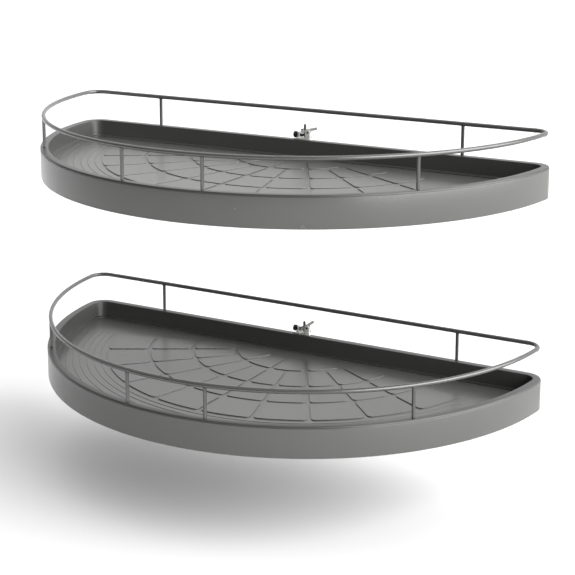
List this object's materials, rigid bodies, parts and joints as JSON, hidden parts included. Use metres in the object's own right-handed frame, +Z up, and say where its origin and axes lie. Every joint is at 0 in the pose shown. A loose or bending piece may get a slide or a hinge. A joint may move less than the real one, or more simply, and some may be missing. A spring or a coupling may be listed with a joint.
{
  "type": "corner carousel shelf set",
  "caption": "Half-moon trays with a wire gallery, each turning on a hub behind its flat side, for an upright post in a corner cabinet.",
  "frame": {"origin": "on the post's axis, at the lower end of the lower shelf's pole sleeve", "axes": "+Z up along the post, +X along the trays' flat side to the right as seen from the round front, -Y towards the round front"},
  "size_m": [0.7978, 0.4503, 0.4252],
  "materials": {
    "band_satin": "satin grey metallic coat over steel, faint vertical brushing",
    "tray_grey": "satin moulded plastic, fine even grain",
    "mat_grey": "matt, soft, with a fine grain",
    "gallery_satin": "satin plated wire",
    "latch_chrome": "bright plated",
    "latch_dark": "black oxide",
    "black_steel": "black oxide",
    "spring_steel": "drawn wire",
    "sleeve_steel": "turned",
    "carrier_paint": "dark grey powder coat",
    "zinc": "zinc plated",
    "bush_nylon": "black nylon",
    "washer_nylon": "natural nylon"
  },
  "bodies": {
    "lower_sleeve": {"lower_pole_sleeve": "sleeve_steel", "lower_grub_screws": "black_steel", "lower_index_collar": "black_steel"},
    "lower_shelf": {"lower_thrust_washer": "washer_nylon", "lower_bottom_bush": "bush_nylon", "lower_top_bush": "bush_nylon", "lower_hub_housing": "carrier_paint", "lower_hub_plate": "carrier_paint", "lower_left_arm": "carrier_paint", "lower_middle_arm": "carrier_paint", "lower_right_arm": "carrier_paint", "lower_arm_screws": "zinc", "lower_rim_band": "band_satin", "lower_tray_pan": "tray_grey", "lower_web_mat": "mat_grey", "lower_gallery_rail": "gallery_satin", "lower_gallery_posts": "gallery_satin", "lower_post_nuts": "zinc", "lower_latch_bracket": "latch_chrome", "lower_bracket_screws": "latch_chrome", "lower_lever_pin": "latch_dark", "lower_latch_spring": "spring_steel"},
    "lower_lever": {"lower_latch_lever": "latch_chrome"},
    "lower_rod": {"lower_latch_rod": "latch_dark", "lower_rod_crossbar": "latch_dark", "lower_rod_clip": "latch_dark"},
    "lower_thumb": {"lower_thumb_screw": "latch_dark"},
    "upper_sleeve": {"upper_pole_sleeve": "sleeve_steel", "upper_grub_screws": "black_steel", "upper_index_collar": "black_steel"},
    "upper_shelf": {"upper_thrust_washer": "washer_nylon", "upper_bottom_bush": "bush_nylon", "upper_top_bush": "bush_nylon", "upper_hub_housing": "carrier_paint", "upper_hub_plate": "carrier_paint", "upper_left_arm": "carrier_paint", "upper_middle_arm": "carrier_paint", "upper_right_arm": "carrier_paint", "upper_arm_screws": "zinc", "upper_rim_band": "band_satin", "upper_tray_pan": "tray_grey", "upper_web_mat": "mat_grey", "upper_gallery_rail": "gallery_satin", "upper_gallery_posts": "gallery_satin", "upper_post_nuts": "zinc", "upper_latch_bracket": "latch_chrome", "upper_bracket_screws": "latch_chrome", "upper_lever_pin": "latch_dark", "upper_latch_spring": "spring_steel"},
    "upper_lever": {"upper_latch_lever": "latch_chrome"},
    "upper_rod": {"upper_latch_rod": "latch_dark", "upper_rod_crossbar": "latch_dark", "upper_rod_clip": "latch_dark"},
    "upper_thumb": {"upper_thumb_screw": "latch_dark"}
  },
  "joints": [
    {"name": "lower_swivel", "type": "hinge", "parent": "lower_sleeve", "child": "lower_shelf", "pos_m": [0, 0, 0], "axis": [0, 0, 1], "continuous": true},
    {"name": "lower_lever_turn", "type": "hinge", "parent": "lower_shelf", "child": "lower_lever", "pos_m": [0.0085, -0.0286, 0.0765], "axis": [0, 1, 0], "range_deg": [-15, 25]},
    {"name": "lower_rod_lift", "type": "slide", "parent": "lower_shelf", "child": "lower_rod", "axis": [0, 0, 1], "range_m": [-0.0028, 0.0047], "deforming": ["lower_latch_spring"]},
    {"name": "lower_thumb_turn", "type": "hinge", "parent": "lower_shelf", "child": "lower_thumb", "pos_m": [-0.0165, -0.0192, 0.0699], "axis": [1, 0, 0], "continuous": true},
    {"name": "upper_swivel", "type": "hinge", "parent": "upper_sleeve", "child": "upper_shelf", "pos_m": [0, 0, 0.311], "axis": [0, 0, 1], "continuous": true},
    {"name": "upper_lever_turn", "type": "hinge", "parent": "upper_shelf", "child": "upper_lever", "pos_m": [0.0085, -0.0286, 0.3875], "axis": [0, 1, 0], "range_deg": [-37, 3]},
    {"name": "upper_rod_lift", "type": "slide", "parent": "upper_shelf", "child": "upper_rod", "axis": [0, 0, 1], "range_m": [-0.0069, 0.0005], "deforming": ["upper_latch_spring"]},
    {"name": "upper_thumb_turn", "type": "hinge", "parent": "upper_shelf", "child": "upper_thumb", "pos_m": [-0.0165, -0.0192, 0.3809], "axis": [1, 0, 0], "continuous": true},
    {"name": "upper_height", "type": "slide", "parent": "lower_sleeve", "child": "upper_sleeve", "axis": [0, 0, 1], "range_m": [-0.15, 0.12]}
  ],
  "couplings": [
    {"joint": "lower_lever_turn", "follows": "lower_rod_lift", "rad_per_m": 92.507},
    {"joint": "upper_lever_turn", "follows": "upper_rod_lift", "rad_per_m": 92.507}
  ]
}
